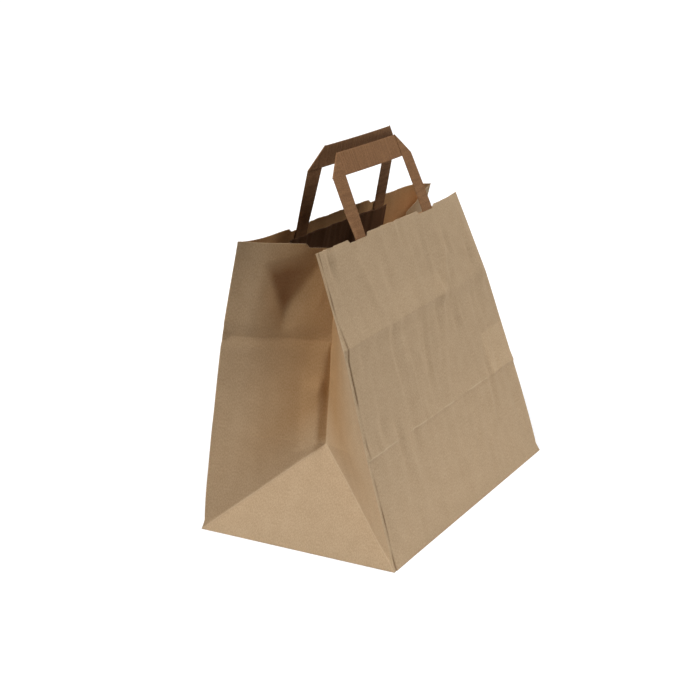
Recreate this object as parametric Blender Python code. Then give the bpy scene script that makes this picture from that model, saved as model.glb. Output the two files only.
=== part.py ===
"""A brown paper carrier bag, standing open: one folded and glued sheet with a block bottom and
tucked side gussets, and two flat paper handles glued inside it under paper patches.
Metres, +Z up, +X to the right along the front panel, -Y to the front. The origin is the middle
of the base, on the surface that the bag stands on."""

import math

import bmesh
import bpy
from mathutils import Vector

# The bag's sheet. HEIGHT is the paper's own height, from the base fold to the cut top edge. Two
# creases cross the panels: at the tips of the bottom's triangles, and where it folded flat
WIDTH = 0.320
DEPTH = 0.200
HEIGHT = 0.280
PAPER = 0.0002
FLAT_FOLD_SHORT = 0.005

# How far the paper leans inwards, in degrees: base to first crease, to second crease, to the top
LEAN = {
    ("front", "left"): (14.0, 12.2, 16.8),
    ("front", "right"): (18.3, 19.2, 23.3),
    ("back", "left"): (9.8, 10.8, 13.6),
    ("back", "right"): (15.8, 15.8, 15.8),
}
TRIANGLE_TILT = {"left": 37.2, "right": 43.2}

# The front half of each gusset bows: its paper is longer than the straight way across
GUSSET_SLACK = {"left": 0.0065, "right": 0.001}
GUSSET_BOW = {"left": 0.006, "right": 0.003}

# The mouth's edge bends at each corner: how far back the rest of the edge runs from there, and
# how far in from the corner the bend reaches
MOUTH_SHIFT = {
    ("front", "left"): 0.003,
    ("front", "right"): -0.019,
    ("back", "left"): -0.008,
    ("back", "right"): 0.010,
}
CORNER_REACH = {"front": 0.110, "back": 0.036}

# The glued bottom: the back flap lies over the front one, past the middle of the base
FLAP_OVERLAP = 0.012

# The cut top edge dips at each handle leg. The cut went through all layers of the flattened
# tube, and the front panel's layer lay a little apart from the others
NOTCH_WIDTH = {"front": 0.033, "back": 0.029}
NOTCH_DEPTH = 0.0033
NOTCH_SLOPE = 0.0025
NOTCH_SHIFT = {"front": -0.005, "back": -0.004}

# The handles: a flat folded strip with a mitred fold at each corner. As it stands, a handle
# leans inwards (left and right leg, degrees), racks sideways, bows along its grip and spreads
# at its feet, and a leg may stand taller than the rise (left and right leg)
STRIP_WIDTH = 0.021
STRIP_THICK = 0.0006
HANDLE_GAP = 0.109
HANDLE_RISE = 0.0525
HANDLE_TUCK = 0.040
HANDLE_CENTRE = {"front": -0.0108, "back": 0.0003}
HANDLE_LEAN = {"front": (23.5, 23.0), "back": (16.0, 19.0)}
HANDLE_RACK = {"front": 0.025, "back": -0.155}
HANDLE_TALLER = {"front": (0.0, 0.0), "back": (0.0, 0.0045)}
HANDLE_SPREAD = {"front": 0.0022, "back": 0.0058}
HANDLE_BOW = {"front": 0.002, "back": -0.0027}

# The patches over the handle legs
PATCH_WIDTH = 0.175
PATCH_HEIGHT = 0.048
PATCH_DROP = 0.012
PATCH_RAMP = 0.004

# Glued faces keep this much air between their solids
GLUE_LINE = 0.0004

# The sheet's grid: across a panel, across half a gusset, and below the cut edge
CELL = 0.016
GUSSET_CELLS = 6
TOP_BAND = 0.012
MITRE_LIMIT = 2.5

# The step along the paper over which its slope is taken, and how close counts as the same place
SLOPE_STEP = 10 * PAPER
SAME_PLACE = PAPER / 200

SIGN = {"left": -1, "right": 1, "front": -1, "back": 1}
WALLS = ("front", "right", "back", "left")
CREASES = (DEPTH / 2, DEPTH - FLAT_FOLD_SHORT, HEIGHT)
BASE_THICK = 3 * PAPER


def clear_scene():
    for thing in list(bpy.data.objects):
        bpy.data.objects.remove(thing, do_unlink=True)


def paper_material(name, colour):
    material = bpy.data.materials.new(name)
    material.use_nodes = True
    shader = material.node_tree.nodes["Principled BSDF"]
    shader.inputs["Base Color"].default_value = (*colour, 1.0)
    shader.inputs["Roughness"].default_value = 0.85
    shader.inputs["Metallic"].default_value = 0.0
    return material


def add_piece(name, solid, material):
    """One closed solid as its own object, faces pointing out."""
    bmesh.ops.recalc_face_normals(solid, faces=solid.faces)
    if solid.calc_volume(signed=True) < 0:
        bmesh.ops.reverse_faces(solid, faces=solid.faces)
    mesh = bpy.data.meshes.new(name)
    solid.to_mesh(mesh)
    solid.free()
    mesh.materials.append(material)
    bpy.context.scene.collection.objects.link(bpy.data.objects.new(name, mesh))


def solid_of(points, faces):
    solid = bmesh.new()
    verts = [solid.verts.new(point) for point in points]
    for face in faces:
        solid.faces.new([verts[index] for index in face])
    return solid


def steps(low, high, count):
    return [low + (high - low) * i / count for i in range(count + 1)]


# Where the paper goes. Heights t run up the paper from the base fold


def fold_point(panel, side, t):
    """The corner fold between a panel and a gusset, at paper height t."""
    lean_in = -SIGN[panel]
    point = Vector((SIGN[side] * WIDTH / 2, SIGN[panel] * DEPTH / 2, 0.0))
    start = 0.0
    for end, degrees in zip(CREASES, LEAN[panel, side]):
        length = max(0.0, min(t, end) - start)
        lean = math.radians(degrees)
        point += length * Vector((0, lean_in * math.sin(lean), math.cos(lean)))
        start = end
    return point


def mouth_shift(panel, share):
    """How far back the top edge lies from the straight line between its corners."""
    left, right = MOUTH_SHIFT[panel, "left"], MOUTH_SHIFT[panel, "right"]
    reach = CORNER_REACH[panel] / WIDTH
    near_left = max(0.0, 1 - share / reach) ** 2
    near_right = max(0.0, 1 - (1 - share) / reach) ** 2
    return left * (1 - share - near_left) + right * (share - near_right)


def panel_point(panel, x, t):
    """The front or back panel's outer face, x along the bag and t up the paper."""
    share = x / WIDTH + 0.5
    point = fold_point(panel, "left", t).lerp(fold_point(panel, "right", t), share)
    bend = max(0.0, (t - CREASES[0]) / (HEIGHT - CREASES[0])) ** 1.5
    offset = mouth_shift(panel, share) * bend
    lean = math.radians(LEAN[panel, "left"][2])
    return point + offset * Vector((0, 1, SIGN[panel] * math.tan(lean)))


def panel_inward(panel, x, t):
    """The panel's unit normal, pointing into the bag."""
    along = panel_point(panel, x + SLOPE_STEP, t) - panel_point(panel, x - SLOPE_STEP, t)
    up = panel_point(panel, x, t) - panel_point(panel, x, t - SLOPE_STEP)
    normal = along.cross(up).normalized()
    return -SIGN[panel] * normal if normal.y > 0 else SIGN[panel] * normal


def apex(side):
    """The top of a gusset's bottom triangle."""
    tilt = math.radians(TRIANGLE_TILT[side])
    inwards = WIDTH / 2 - DEPTH / 2 * math.sin(tilt)
    return Vector((SIGN[side] * inwards, 0, DEPTH / 2 * math.cos(tilt)))


def crease_top(side):
    """The top of a gusset's centre crease, from its distances along the paper to the apex and
    to the back fold's top, and its straight distance to the front fold's top."""
    low = apex(side)
    back = fold_point("back", side, HEIGHT)
    front = fold_point("front", side, HEIGHT)
    to_low, to_back = HEIGHT - DEPTH / 2, DEPTH / 2
    to_front = DEPTH / 2 - GUSSET_SLACK[side]
    across = (front - back).normalized()
    apart = (front - back).length
    along = (to_back**2 - to_front**2 + apart**2) / (2 * apart)
    hub = back + along * across
    radius = math.sqrt(to_back**2 - along**2)
    arm = low - hub
    flat = arm - arm.dot(across) * across
    off_plane = arm.dot(across)
    reach = (radius**2 + flat.length**2 + off_plane**2 - to_low**2) / (2 * radius)
    turn = math.acos(reach / flat.length)
    towards = flat.normalized()
    sideways = across.cross(towards)
    if sideways.x * SIGN[side] > 0:
        sideways = -sideways
    return hub + radius * (math.cos(turn) * towards + math.sin(turn) * sideways)


def gusset_point(side, a, t):
    """A side gusset's outer face, a back from the front fold and t up the paper."""
    half = DEPTH / 2
    front_corner = fold_point("front", side, 0)
    back_corner = fold_point("back", side, 0)
    top = apex(side)
    middle = (front_corner + back_corner) / 2
    if t <= min(a, DEPTH - a) + SAME_PLACE:
        return front_corner.lerp(back_corner, a / DEPTH) + (top - middle) * (t / half)
    front_edge = fold_point("front", side, t)
    back_edge = fold_point("back", side, t)
    if t <= half and a < half:
        return front_edge + (top - fold_point("front", side, half)) * (a / half)
    if t <= half:
        diagonal = back_corner.lerp(top, t / half)
        return back_edge.lerp(diagonal, (DEPTH - a) / t)
    climb = (t - half) / (HEIGHT - half)
    crease = top.lerp(crease_top(side), climb)
    if a >= half:
        return back_edge.lerp(crease, (DEPTH - a) / half)
    share = a / half
    inwards = (crease - front_edge).cross(Vector((0, 0, 1))).normalized()
    if inwards.y > 0:
        inwards = -inwards
    bow = GUSSET_BOW[side] * climb * 4 * share * (1 - share)
    return front_edge.lerp(crease, share) + bow * inwards


# The cut top edge


def leg_span(panel):
    """A leg's two edges at its foot, from the middle of the handle."""
    inner = HANDLE_GAP / 2 + HANDLE_SPREAD[panel]
    return inner, inner + STRIP_WIDTH


def notch_centres(wall):
    panel = "front" if wall == "front" else "back"
    middle = HANDLE_CENTRE[panel] + NOTCH_SHIFT[panel]
    reach = sum(leg_span(panel)) / 2
    return middle - reach, middle + reach


def notch_width(wall):
    return NOTCH_WIDTH["front" if wall == "front" else "back"]


def notch_drop(wall, place):
    """How far the cut lies below the full height, at a place on a wall."""
    drop = 0.0
    half_width = notch_width(wall) / 2
    for centre in notch_centres(wall):
        outside = abs(flat_x_of(wall, place) - centre) - half_width
        drop = max(drop, NOTCH_DEPTH * max(0.0, min(1.0, 1 - outside / NOTCH_SLOPE)))
    return drop


def notch_corners(wall):
    half_width = notch_width(wall) / 2
    reaches = (half_width, half_width + NOTCH_SLOPE)
    ends = [sign * reach for sign in (-1, 1) for reach in reaches]
    return [centre + end for centre in notch_centres(wall) for end in ends]


def flat_x_of(wall, place):
    """Where a place on a wall lies across the flattened tube."""
    if wall in ("front", "back"):
        return place
    return SIGN[wall] * (WIDTH / 2 - min(place, DEPTH - place))


def wall_point(wall, place, t):
    if wall in ("front", "back"):
        return panel_point(wall, place, t)
    return gusset_point(wall, place, t)


def wall_places(wall, fine):
    """Places across one wall, in order round the bag, without its last fold."""
    if wall in ("front", "back"):
        places = steps(-WIDTH / 2, WIDTH / 2, round(WIDTH / CELL))
        extra = notch_corners(wall)
        low, high = -WIDTH / 2, WIDTH / 2
    else:
        places = steps(0.0, DEPTH, 2 * GUSSET_CELLS)
        depths = [WIDTH / 2 - SIGN[wall] * corner for corner in notch_corners(wall)]
        depths = [depth for depth in depths if 0 < depth < DEPTH / 2]
        extra = depths + [DEPTH - depth for depth in depths]
        low, high = 0.0, DEPTH
    if fine:
        places = sorted(places + [place for place in extra if low < place < high])
    if wall in ("back", "left"):
        places = places[::-1]
    return places[:-1]


def ring(fine, height_at):
    """One row round the bag: (wall, place, share along the wall, point)."""
    row = []
    for wall in WALLS:
        span = WIDTH if wall in ("front", "back") else DEPTH
        places = wall_places(wall, fine)
        for place in places:
            point = wall_point(wall, place, height_at(wall, place))
            row.append((wall, place, abs(place - places[0]) / span, point))
    return row


# The bag's sheet as one closed solid


def bag_body(material):
    heights = steps(0, CREASES[0], GUSSET_CELLS)
    heights += steps(CREASES[0], CREASES[1], 4)[1:]
    heights += steps(CREASES[1], HEIGHT - TOP_BAND, 3)[1:]
    rows = [ring(False, lambda wall, place, t=t: t) for t in heights]
    top = ring(True, lambda wall, place: HEIGHT - notch_drop(wall, place))
    columns = len(rows[0])

    points = [entry[3].copy() for row in rows + [top] for entry in row]
    firsts = [columns * i for i in range(len(rows) + 1)]

    def at(row, column):
        return firsts[row] + column % columns

    walls = []
    for row in range(len(rows) - 1):
        for column in range(columns):
            wall, place = rows[0][column][:2]
            low, low_next = at(row, column), at(row, column + 1)
            high, high_next = at(row + 1, column), at(row + 1, column + 1)
            corners = [low, low_next, high_next, high]
            middle = place + DEPTH / (4 * GUSSET_CELLS) * (1 if wall == "right" else -1)
            falling = wall in ("left", "right") and (middle > DEPTH / 2) == (wall == "right")
            if falling:
                corners = corners[1:] + corners[:1]
            walls += [[corners[0], corners[1], corners[2]], [corners[0], corners[2], corners[3]]]

    walls += top_band(rows[-1], top, firsts[-2], firsts[-1])

    # The inner face lies one paper in from the outer one, less round the sharpest folds
    inner = inner_points(points, walls)
    base_rows(points, inner, columns)
    count = len(points)
    points += inner
    faces = walls + [[count + index for index in face[::-1]] for face in walls]

    rim = list(range(firsts[-1], firsts[-1] + len(top)))
    for here, there in zip(rim, rim[1:] + rim[:1]):
        faces.append([here, there, count + there])
        faces.append([here, count + there, count + here])

    faces += base_faces(points, [entry[0] for entry in rows[0]], count)
    add_piece("bag_body", solid_of(points, faces), material)


def top_band(lower, upper, lower_first, upper_first):
    """Triangles between the last even row and the cut edge, which has more points."""
    walls = []
    lower_keys = [WALLS.index(entry[0]) + entry[2] for entry in lower] + [len(WALLS)]
    upper_keys = [WALLS.index(entry[0]) + entry[2] for entry in upper] + [len(WALLS)]
    i = j = 0
    while i < len(lower) or j < len(upper):
        step_up = i == len(lower) or (j < len(upper) and upper_keys[j + 1] <= lower_keys[i + 1])
        low = lower_first + i % len(lower)
        high = upper_first + j % len(upper)
        if step_up:
            j += 1
            walls.append([low, upper_first + j % len(upper), high])
        else:
            i += 1
            walls.append([low, lower_first + i % len(lower), high])
    return walls


def inner_points(points, walls):
    around = [[] for _ in points]
    for a, b, c in walls:
        normal = (points[b] - points[a]).cross(points[c] - points[a])
        for index in (a, b, c):
            around[index].append(normal)
    inner = []
    for point, normals in zip(points, around):
        units = [normal.normalized() for normal in normals]
        total = sum(normals, Vector()).normalized()
        facing = min(max(total.dot(unit), 0) for unit in units)
        mitre = min(MITRE_LIMIT, 1 / max(facing, 1 / MITRE_LIMIT))
        inner.append(point - total * PAPER * mitre)
    return inner


def base_level(wall):
    """The underside's height where a wall folds under: the back flap is the outermost layer."""
    return {"back": 0.0, "front": PAPER}.get(wall, 2 * PAPER)


def base_rows(points, inner, columns):
    """Sets the lowest row: outside at the flaps' levels, inside on the floor of the bag."""
    for index in range(columns):
        low, above = points[index], points[index + columns]
        rise = BASE_THICK / (above.z - low.z)
        inwards = inner[index] - low
        inwards.z = 0
        inner[index] = low.lerp(above, rise) + inwards
        inner[index].z = BASE_THICK


def base_faces(points, walls_round, count):
    """The folded flaps underneath, each a paper's thickness from the next, and the floor inside."""
    columns = len(walls_round)
    sides = {wall: [i for i in range(columns) if walls_round[i] == wall] for wall in SIGN}
    for wall, indices in sides.items():
        for index in indices:
            points[index].z = base_level(wall)
    front_left, front_right = sides["front"][0], sides["right"][0]
    back_right, back_left = sides["back"][0], sides["left"][0]
    points[front_right].z = base_level("front")
    points[back_left].z = base_level("back")

    def corner(x, y, z):
        points.append(Vector((x, y, z)))
        return len(points) - 1

    tip_x = WIDTH / 2 - DEPTH / 2
    tips = {}
    seams = {}
    for side in ("left", "right"):
        x = SIGN[side] * tip_x
        seam_x = SIGN[side] * (tip_x - FLAP_OVERLAP)
        tips[side] = [corner(x, 0, PAPER * level) for level in range(3)]
        seams[side] = [corner(seam_x, -FLAP_OVERLAP, PAPER * level) for level in range(2)]

    middle_back = sides["back"][1:]
    middle_front = sides["front"][1:]
    left, right = "left", "right"
    faces = [
        [
            back_right, *middle_back, back_left,
            tips[left][0], seams[left][0], seams[right][0], tips[right][0],
        ],
        [
            front_left, *middle_front, front_right,
            tips[right][1], seams[right][1], seams[left][1], tips[left][1],
        ],
        [front_right, *sides["right"][1:], back_right, tips[right][2]],
        [back_left, *sides["left"][1:], front_left, tips[left][2]],
        [seams[left][0], seams[right][0], seams[right][1], seams[left][1]],
    ]
    for side, front, back in ((left, front_left, back_left), (right, front_right, back_right)):
        tip, seam = tips[side], seams[side]
        faces.append([back, tip[0], tip[1], tip[2]])
        faces.append([front, tip[1], tip[2]])
        faces.append([tip[0], seam[0], seam[1], tip[1]])

    hub = corner(0, 0, BASE_THICK)
    for index in range(columns):
        faces.append([count + index, count + (index + 1) % columns, hub])
    return faces


# The handles


def handle_outline():
    """The flat folded strip: corners (u, v, layer) and faces. The legs lie in the outer layer,
    1 to 2, and the grip in the inner one, 0 to 1, and both are whole across each mitred corner."""
    near = HANDLE_GAP / 2
    far = near + STRIP_WIDTH
    grip_low = HANDLE_RISE
    grip_high = HANDLE_RISE + STRIP_WIDTH
    corners = []
    faces = []

    def add(*places):
        start = len(corners)
        corners.extend(places)
        faces.append(list(range(start, len(corners))))

    add((-far, grip_low, 0), (far, grip_low, 0), (near, grip_high, 0), (-near, grip_high, 0))
    add(
        (-far, grip_low, 0), (far, grip_low, 0), (far, grip_low, 1),
        (near, grip_low, 1), (-near, grip_low, 1), (-far, grip_low, 1),
    )
    add((-near, grip_high, 0), (near, grip_high, 0), (near, grip_high, 1), (-near, grip_high, 1))
    add((-near, grip_low, 1), (near, grip_low, 1), (near, grip_high, 1), (-near, grip_high, 1))
    for sign in (-1, 1):
        inner, outer = sign * near, sign * far
        add(
            (outer, grip_low, 0), (inner, grip_high, 0), (inner, grip_high, 1),
            (inner, grip_high, 2), (outer, grip_low, 2), (outer, grip_low, 1),
        )
        add(
            (outer, -HANDLE_TUCK, 2), (inner, -HANDLE_TUCK, 2),
            (inner, grip_high, 2), (outer, grip_low, 2),
        )
        add(
            (outer, -HANDLE_TUCK, 1), (inner, -HANDLE_TUCK, 1),
            (inner, grip_low, 1), (outer, grip_low, 1),
        )
        add(
            (inner, -HANDLE_TUCK, 1), (inner, grip_low, 1), (inner, grip_high, 1),
            (inner, grip_high, 2), (inner, -HANDLE_TUCK, 2),
        )
        add(
            (outer, -HANDLE_TUCK, 1), (outer, grip_low, 1),
            (outer, grip_low, 2), (outer, -HANDLE_TUCK, 2),
        )
        add(
            (outer, -HANDLE_TUCK, 1), (inner, -HANDLE_TUCK, 1),
            (inner, -HANDLE_TUCK, 2), (outer, -HANDLE_TUCK, 2),
        )
    return corners, faces


def handle_point(panel, u, v, layer):
    """A point of the flat handle, u from its middle, v above the bag's edge, where it stands."""
    depth = PAPER + GLUE_LINE + (2 - layer) * STRIP_THICK
    rise = max(0.0, min(1.0, v / HANDLE_RISE))
    spread = HANDLE_SPREAD[panel] * (1 - rise)
    x = HANDLE_CENTRE[panel] + u + math.copysign(spread, u)
    if v <= 0:
        return panel_point(panel, x, HEIGHT + v) + panel_inward(panel, x, HEIGHT + v) * depth
    share = u / (HANDLE_GAP / 2 + STRIP_WIDTH)
    left_lean, right_lean = HANDLE_LEAN[panel]
    lean = math.radians(left_lean + (right_lean - left_lean) * (share + 1) / 2)
    inwards = -SIGN[panel]
    start = panel_point(panel, x, HEIGHT) + panel_inward(panel, x, HEIGHT) * depth
    along = Vector((HANDLE_RACK[panel], inwards * math.sin(lean), math.cos(lean)))
    left_more, right_more = HANDLE_TALLER[panel]
    taller = (left_more + (right_more - left_more) * (share + 1) / 2) * rise
    bow = HANDLE_BOW[panel] * (1 - share**2) * rise
    return start + along * (v + taller) + Vector((0, -inwards * bow, 0))


def handle(panel, material):
    solid = solid_of(*handle_outline())
    bmesh.ops.remove_doubles(solid, verts=solid.verts, dist=SAME_PLACE)
    cuts = [((u, 0, 0), (1, 0, 0)) for u in steps(-HANDLE_GAP / 2, HANDLE_GAP / 2, 6)[1:-1]]
    heights = (-HANDLE_TUCK * 2 / 3, -HANDLE_TUCK / 3, 0, HANDLE_RISE / 2)
    cuts += [((0, v, 0), (0, 1, 0)) for v in heights]
    for place, normal in cuts:
        geometry = solid.verts[:] + solid.edges[:] + solid.faces[:]
        bmesh.ops.bisect_plane(solid, geom=geometry, plane_co=place, plane_no=normal, dist=SAME_PLACE)
    for vert in solid.verts:
        vert.co = handle_point(panel, *vert.co)
    add_piece(panel + "_handle", solid, material)


# The patches glued over the handle legs, inside the bag


def patch_lift(panel, u, v):
    """How much the patch stands off the panel: it steps over each leg."""
    near, far = leg_span(panel)
    clear_of_leg = max(near - abs(u), abs(u) - far, -HANDLE_TUCK - v, 0.0)
    share = max(0.0, 1 - clear_of_leg / PATCH_RAMP)
    return (STRIP_THICK + GLUE_LINE) * min(1.0, share)


def handle_patch(panel, material):
    near, far = leg_span(panel)
    half = PATCH_WIDTH / 2
    bends = [near - PATCH_RAMP, near, far, far + PATCH_RAMP]
    across = sorted([-half, *[-u for u in bends], *steps(-near / 2, near / 2, 2), *bends, half])
    bottom = -PATCH_DROP - PATCH_HEIGHT
    leg_end = -HANDLE_TUCK
    middle = (leg_end - PATCH_DROP) / 2
    upwards = [bottom, leg_end - PATCH_RAMP, leg_end, middle, -PATCH_DROP]
    points = []
    for layer in (0, 1):
        for v in upwards:
            for u in across:
                x = HANDLE_CENTRE[panel] + u
                depth = PAPER + GLUE_LINE + patch_lift(panel, u, v) + layer * PAPER
                start = panel_point(panel, x, HEIGHT + v)
                points.append(start + panel_inward(panel, x, HEIGHT + v) * depth)
    wide, tall = len(across), len(upwards)

    def at(layer, i, j):
        return layer * wide * tall + j * wide + i

    faces = []
    for i in range(wide - 1):
        for j in range(tall - 1):
            for layer in (0, 1):
                a, b = at(layer, i, j), at(layer, i + 1, j)
                c, d = at(layer, i + 1, j + 1), at(layer, i, j + 1)
                faces += [[a, b, c], [a, c, d]]
    for j in range(tall - 1):
        for i in (0, wide - 1):
            faces.append([at(0, i, j), at(0, i, j + 1), at(1, i, j + 1), at(1, i, j)])
    for i in range(wide - 1):
        for j in (0, tall - 1):
            faces.append([at(0, i, j), at(0, i + 1, j), at(1, i + 1, j), at(1, i, j)])
    add_piece(panel + "_handle_patch", solid_of(points, faces), material)


clear_scene()
kraft = paper_material("kraft_paper", (0.47, 0.33, 0.20))
handle_kraft = paper_material("handle_kraft", (0.27, 0.15, 0.075))
bag_body(kraft)
for panel in ("front", "back"):
    handle(panel, handle_kraft)
    handle_patch(panel, handle_kraft)
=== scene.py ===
"""Looks of the brown paper carrier bag: the folded sheet with its creases, dents and pinked edge,
the glued bottom, the flat folded handles and the patches that hold them, in kraft paper."""

import math

import bmesh
import bpy
import numpy as np
from mathutils import Matrix, Vector, noise


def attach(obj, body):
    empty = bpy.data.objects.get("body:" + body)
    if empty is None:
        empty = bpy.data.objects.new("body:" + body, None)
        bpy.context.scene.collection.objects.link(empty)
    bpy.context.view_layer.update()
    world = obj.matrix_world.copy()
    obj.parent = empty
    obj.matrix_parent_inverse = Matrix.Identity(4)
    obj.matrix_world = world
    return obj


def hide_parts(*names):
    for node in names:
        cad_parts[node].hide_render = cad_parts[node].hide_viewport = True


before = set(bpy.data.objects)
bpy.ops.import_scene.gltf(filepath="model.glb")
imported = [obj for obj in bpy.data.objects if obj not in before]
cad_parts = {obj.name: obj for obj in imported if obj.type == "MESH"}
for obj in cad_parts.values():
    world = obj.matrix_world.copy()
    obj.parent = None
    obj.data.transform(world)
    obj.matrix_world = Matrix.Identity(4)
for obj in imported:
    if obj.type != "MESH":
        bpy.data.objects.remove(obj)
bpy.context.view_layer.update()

# The bag's sheet: one web of brown kraft, folded flat in the factory and now stood open. It is
# laid out here by its folds: four corner folds, a crease down each gusset, the slanting folds of
# the block bottom, and two creases across, left by the flat folding.

WIDTH = 0.320
DEPTH = 0.200
HEIGHT = 0.280
PAPER = 0.0002
FLAT_FOLD_SHORT = 0.005
CREASES = (DEPTH / 2, DEPTH - FLAT_FOLD_SHORT, HEIGHT)
LEAN = {
    ("front", "left"): (14.0, 12.2, 16.8),
    ("front", "right"): (18.3, 19.2, 23.3),
    ("back", "left"): (9.8, 10.8, 13.6),
    ("back", "right"): (15.8, 15.8, 15.8),
}
TRIANGLE_TILT = {"left": 37.2, "right": 43.2}
GUSSET_SLACK = {"left": 0.0065, "right": 0.001}
GUSSET_BOW = {"left": 0.006, "right": 0.003}
MOUTH_SHIFT = {
    ("front", "left"): 0.003,
    ("front", "right"): -0.019,
    ("back", "left"): -0.008,
    ("back", "right"): 0.010,
}
CORNER_REACH = {"front": 0.110, "back": 0.036}
SIGN = {"left": -1, "right": 1, "front": -1, "back": 1}
ROUND_BAG = 2 * (WIDTH + DEPTH)


def unit(vectors):
    return vectors / np.linalg.norm(vectors, axis=-1, keepdims=True)


def between(low, high, share):
    return low + (high - low) * np.asarray(share)[..., None]


def fold_line(panel, side, t):
    """The corner fold between a panel and a gusset, at paper heights t."""
    t = np.asarray(t, float)
    point = np.zeros(t.shape + (3,))
    point[..., 0] = SIGN[side] * WIDTH / 2
    point[..., 1] = SIGN[panel] * DEPTH / 2
    start = 0.0
    for end, degrees in zip(CREASES, LEAN[panel, side]):
        length = np.clip(t, None, end) - start
        length = np.clip(length, 0, None) if start else length
        point[..., 1] -= SIGN[panel] * math.sin(math.radians(degrees)) * length
        point[..., 2] += math.cos(math.radians(degrees)) * length
        start = end
    return point


def mouth_shift(panel, share):
    left, right = MOUTH_SHIFT[panel, "left"], MOUTH_SHIFT[panel, "right"]
    reach = CORNER_REACH[panel] / WIDTH
    near_left = np.clip(1 - share / reach, 0, None) ** 2
    near_right = np.clip(1 - (1 - share) / reach, 0, None) ** 2
    return left * (1 - share - near_left) + right * (share - near_right)


def panel_surface(panel, x, t):
    """The front or back panel's outer face, x along the bag and t up the paper."""
    share = np.asarray(x) / WIDTH + 0.5
    point = between(fold_line(panel, "left", t), fold_line(panel, "right", t), share)
    bend = np.clip((t - CREASES[0]) / (HEIGHT - CREASES[0]), 0, None) ** 1.5
    offset = mouth_shift(panel, share) * bend
    point[..., 1] += offset
    point[..., 2] += offset * SIGN[panel] * math.tan(math.radians(LEAN[panel, "left"][2]))
    return point


def apex(side):
    """The top of a gusset's bottom triangle."""
    tilt = math.radians(TRIANGLE_TILT[side])
    x = SIGN[side] * (WIDTH / 2 - DEPTH / 2 * math.sin(tilt))
    return np.array([x, 0, DEPTH / 2 * math.cos(tilt)])


def crease_top(side):
    """The top of a gusset's centre crease, from its distances to the apex and to both folds."""
    low = apex(side)
    back = fold_line("back", side, HEIGHT)
    front = fold_line("front", side, HEIGHT)
    to_low, to_back = HEIGHT - DEPTH / 2, DEPTH / 2
    to_front = DEPTH / 2 - GUSSET_SLACK[side]
    across = unit(front - back)
    apart = np.linalg.norm(front - back)
    along = (to_back**2 - to_front**2 + apart**2) / (2 * apart)
    hub = back + along * across
    radius = math.sqrt(to_back**2 - along**2)
    arm = low - hub
    off_plane = arm @ across
    flat = arm - off_plane * across
    length = np.linalg.norm(flat)
    reach = (radius**2 + length**2 + off_plane**2 - to_low**2) / (2 * radius)
    turn = math.acos(reach / length)
    towards = flat / length
    sideways = np.cross(across, towards)
    if sideways[0] * SIGN[side] > 0:
        sideways = -sideways
    return hub + radius * (math.cos(turn) * towards + math.sin(turn) * sideways)


def gusset_surface(side, a, t):
    """A side gusset's outer face, a back from the front fold and t up the paper."""
    half = DEPTH / 2
    a, t = np.broadcast_arrays(np.asarray(a, float), np.asarray(t, float))
    front_corner = fold_line("front", side, 0.0)
    back_corner = fold_line("back", side, 0.0)
    top = apex(side)
    middle = (front_corner + back_corner) / 2
    front_edge = fold_line("front", side, t)
    back_edge = fold_line("back", side, t)

    triangle = between(front_corner, back_corner, a / DEPTH) + (top - middle) * (t / half)[..., None]
    low_front = front_edge + (top - fold_line("front", side, half)) * (a / half)[..., None]
    slanting = between(back_corner, top, t / half)
    low_back = between(back_edge, slanting, (DEPTH - a) / np.maximum(t, 1e-6))

    climb = (t - half) / (HEIGHT - half)
    crease = between(top, crease_top(side), climb)
    high_back = between(back_edge, crease, (DEPTH - a) / half)
    share = a / half
    inwards = unit(np.cross(crease - front_edge, (0, 0, 1)))
    inwards *= np.where(inwards[..., 1:2] > 0, -1, 1)
    bow = GUSSET_BOW[side] * climb * 4 * share * (1 - share)
    high_front = between(front_edge, crease, share) + bow[..., None] * inwards

    place = [
        t <= np.minimum(a, DEPTH - a) + 1e-9,
        (t <= half) & (a < half),
        t <= half,
        a >= half,
    ]
    shapes = [triangle, low_front, low_back, high_back]
    return np.select([p[..., None] for p in place], shapes, high_front)


def wall_of(s):
    """For places s round the bag: the wall's number, and the place on that wall."""
    s = np.mod(s, ROUND_BAG)
    ends = np.cumsum([WIDTH, DEPTH, WIDTH])
    wall = np.searchsorted(ends, s, side="right")
    place = np.select(
        [wall == 0, wall == 1, wall == 2],
        [s - WIDTH / 2, s - ends[0], ends[1] + WIDTH / 2 - s],
        ROUND_BAG - s,
    )
    return wall, place


def from_fold(wall, place):
    """How far a place on a wall is from the nearer of its two corner folds."""
    return np.where(wall % 2 == 0, WIDTH / 2 - np.abs(place), np.minimum(place, DEPTH - place))


def sheet_plain(s, t):
    """The sheet's outer face with sharp folds and no dents, s round the bag and t up the paper."""
    s, t = np.broadcast_arrays(np.asarray(s, float), np.asarray(t, float))
    wall, place = wall_of(s)
    shapes = [
        panel_surface("front", place, t),
        gusset_surface("right", place, t),
        panel_surface("back", place, t),
    ]
    return np.select([(wall == n)[..., None] for n in range(3)], shapes, gusset_surface("left", place, t))


# The paper turns each fold on a small radius, and the upper crease on a wide one
FOLD_REACH = 0.0007
SOFT_REACH = 0.0022
SOFT_BAND = 0.012
# Thickness is laid off along the sheet's normals. Relief is laid off along directions that turn
# much more slowly, so that a push inwards at a fold leaves the sheet the right way out
NORMAL_REACH = 0.0015
RELIEF_REACH = 0.012
# A sharp fold is pressed thin, so that its two layers crowd each other less
PRESSED_REACH = 0.0016
PRESSED_LEAST = 0.10


def sheet_folded(s, t):
    soft = np.exp(-(((t - CREASES[1]) / SOFT_BAND) ** 2))
    reach_up = FOLD_REACH + (SOFT_REACH - FOLD_REACH) * soft
    total = 0
    for step in (-1, -0.5, 0, 0.5, 1):
        total = total + sheet_plain(s + step * FOLD_REACH, t)
        up = t + step * reach_up
        total = total + sheet_plain(s, np.where(t > reach_up, up, t))
    return total / 10


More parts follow.
